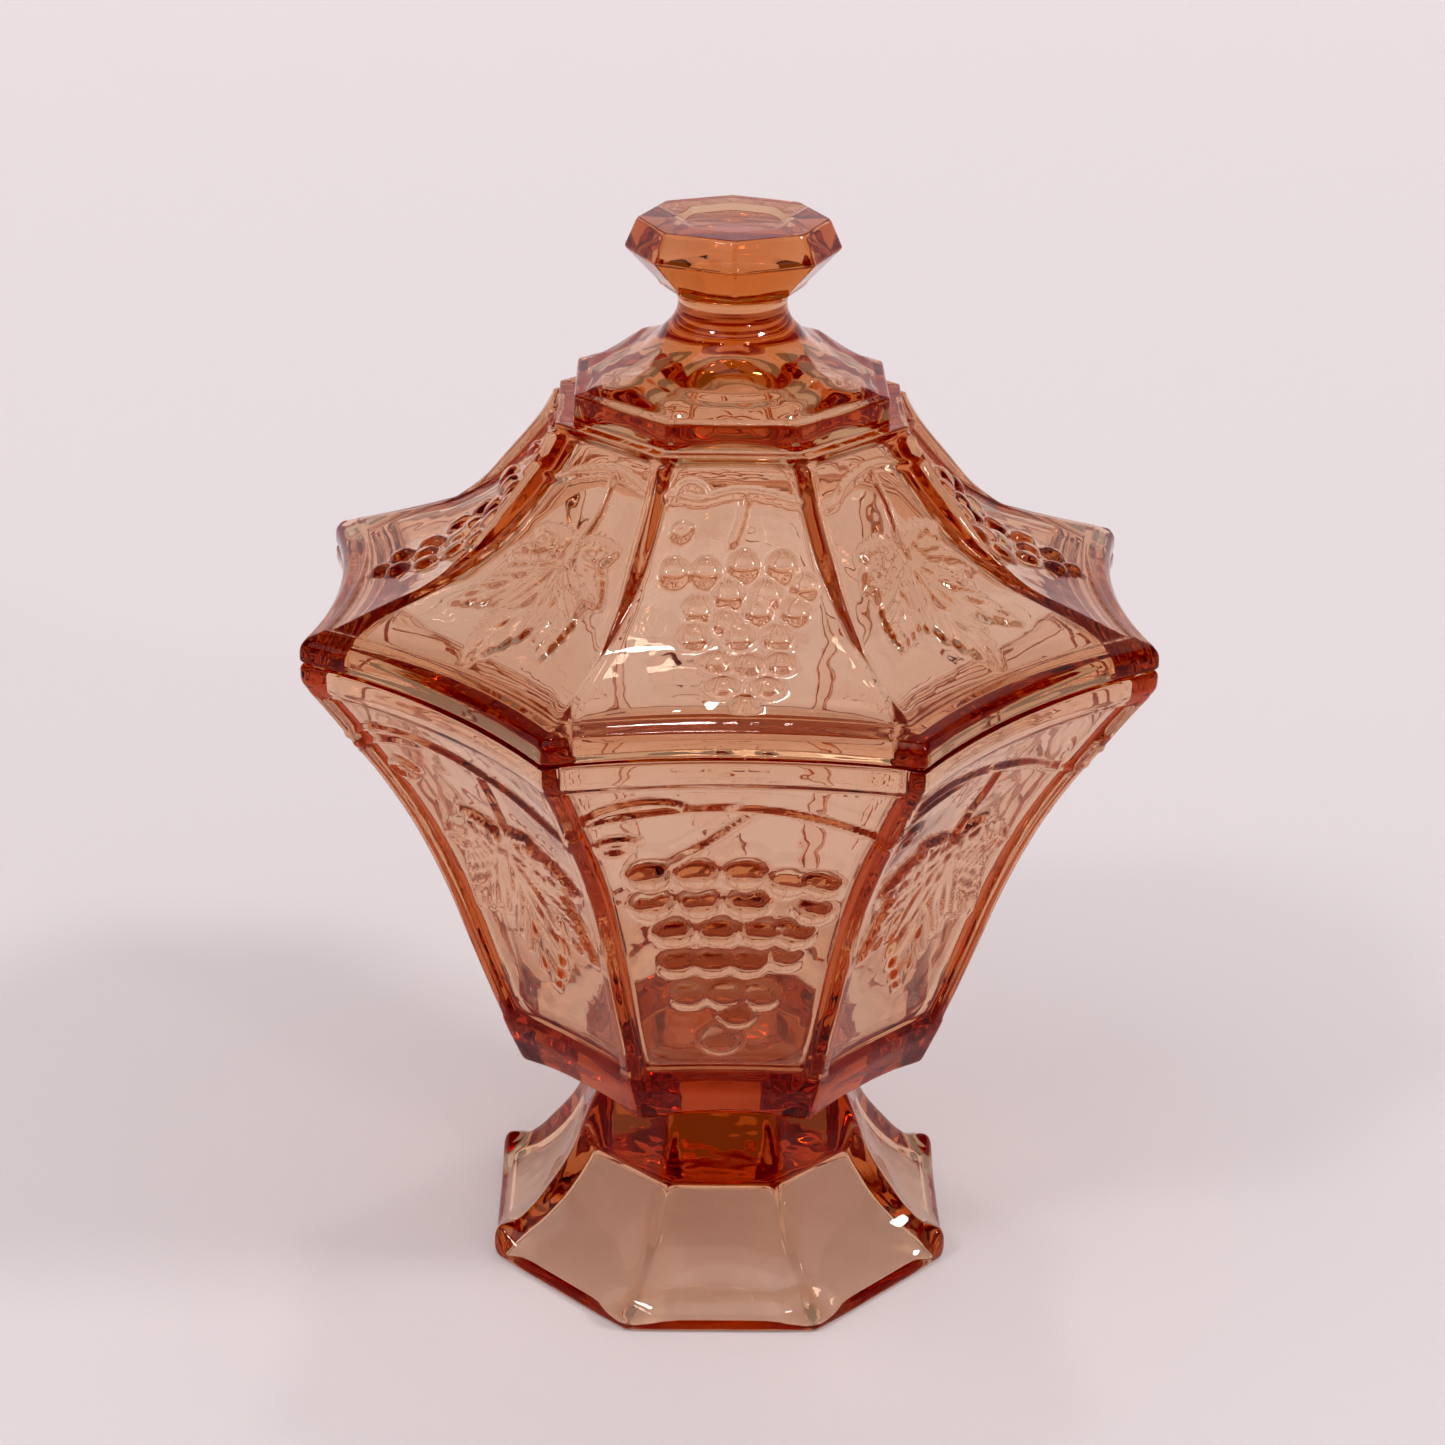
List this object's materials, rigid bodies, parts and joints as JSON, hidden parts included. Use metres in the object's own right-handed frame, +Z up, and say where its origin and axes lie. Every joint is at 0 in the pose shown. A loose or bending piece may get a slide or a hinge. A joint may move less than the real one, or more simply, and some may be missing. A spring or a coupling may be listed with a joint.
{
  "type": "covered candy dish",
  "caption": "Octagonal pressed-glass candy dish on a flared foot, with grape and leaf panels and a domed lift-off lid topped by a faceted knob.",
  "frame": {"origin": "centre of the foot, on the surface the dish stands on", "axes": "+Z up along the dish's axis; -Y looks at a flat side that carries a grape panel; +X to the right of that side"},
  "size_m": [0.1682, 0.1682, 0.225],
  "materials": {
    "bowl_glass": "clear pink-amber pressed glass, fire polished",
    "lid_glass": "clear pink-amber pressed glass, fire polished"
  },
  "bodies": {
    "bowl": {"footed_bowl": "bowl_glass"},
    "cover": {"lid": "lid_glass"}
  },
  "joints": [
    {"name": "lid_lift", "type": "slide", "parent": "bowl", "child": "cover", "axis": [0, 0, 1], "range_m": [0, 0.11]}
  ]
}
